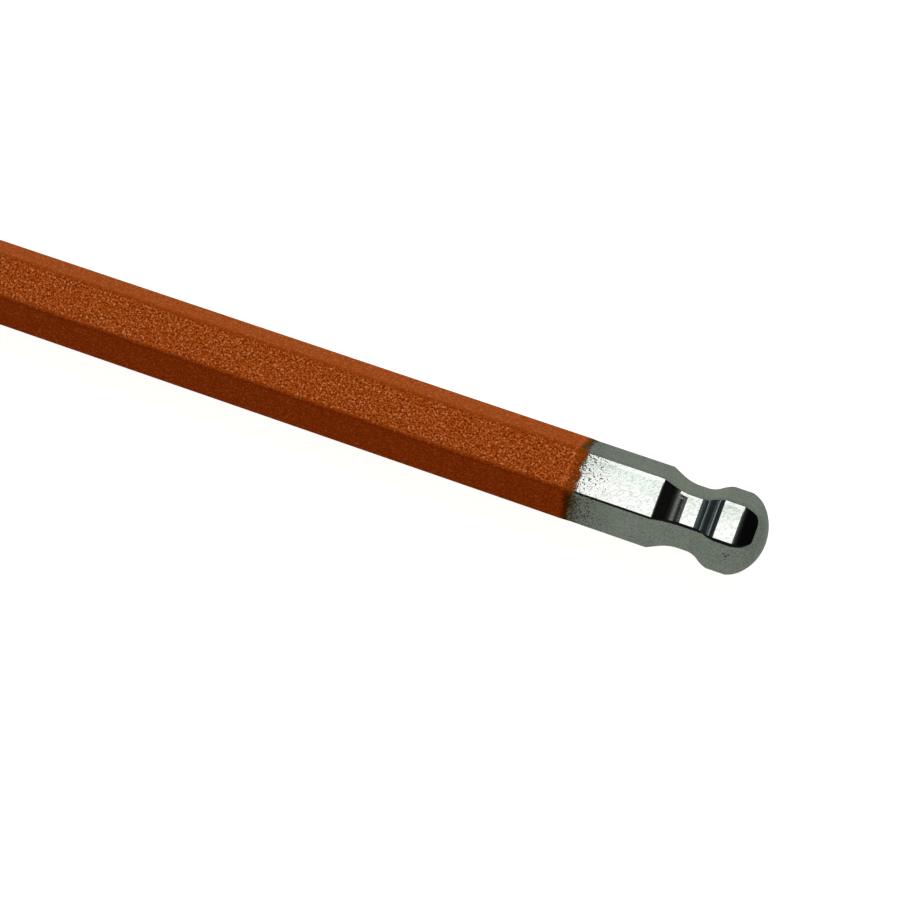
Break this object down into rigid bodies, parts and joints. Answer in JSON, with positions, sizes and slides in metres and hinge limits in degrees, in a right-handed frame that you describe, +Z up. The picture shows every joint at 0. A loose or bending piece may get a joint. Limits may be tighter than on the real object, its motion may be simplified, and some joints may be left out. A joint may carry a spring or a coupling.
{
  "type": "hex key",
  "caption": "L-shaped hexagonal key with a ball end on the long arm and a powder-coated shank between two bare steel ends.",
  "frame": {"origin": "on the surface that the key lies on, at the middle of its outline", "axes": "+X along the long arm towards the ball, +Y along the short arm away from the bend, +Z up, square to the flat that the key lies on"},
  "size_m": [0.16, 0.044, 0.0081],
  "materials": {
    "coated_steel": "fine-textured orange powder coat on steel, both working ends bare and bright"
  },
  "bodies": {
    "root": {"hex_key": "coated_steel"}
  },
  "joints": []
}
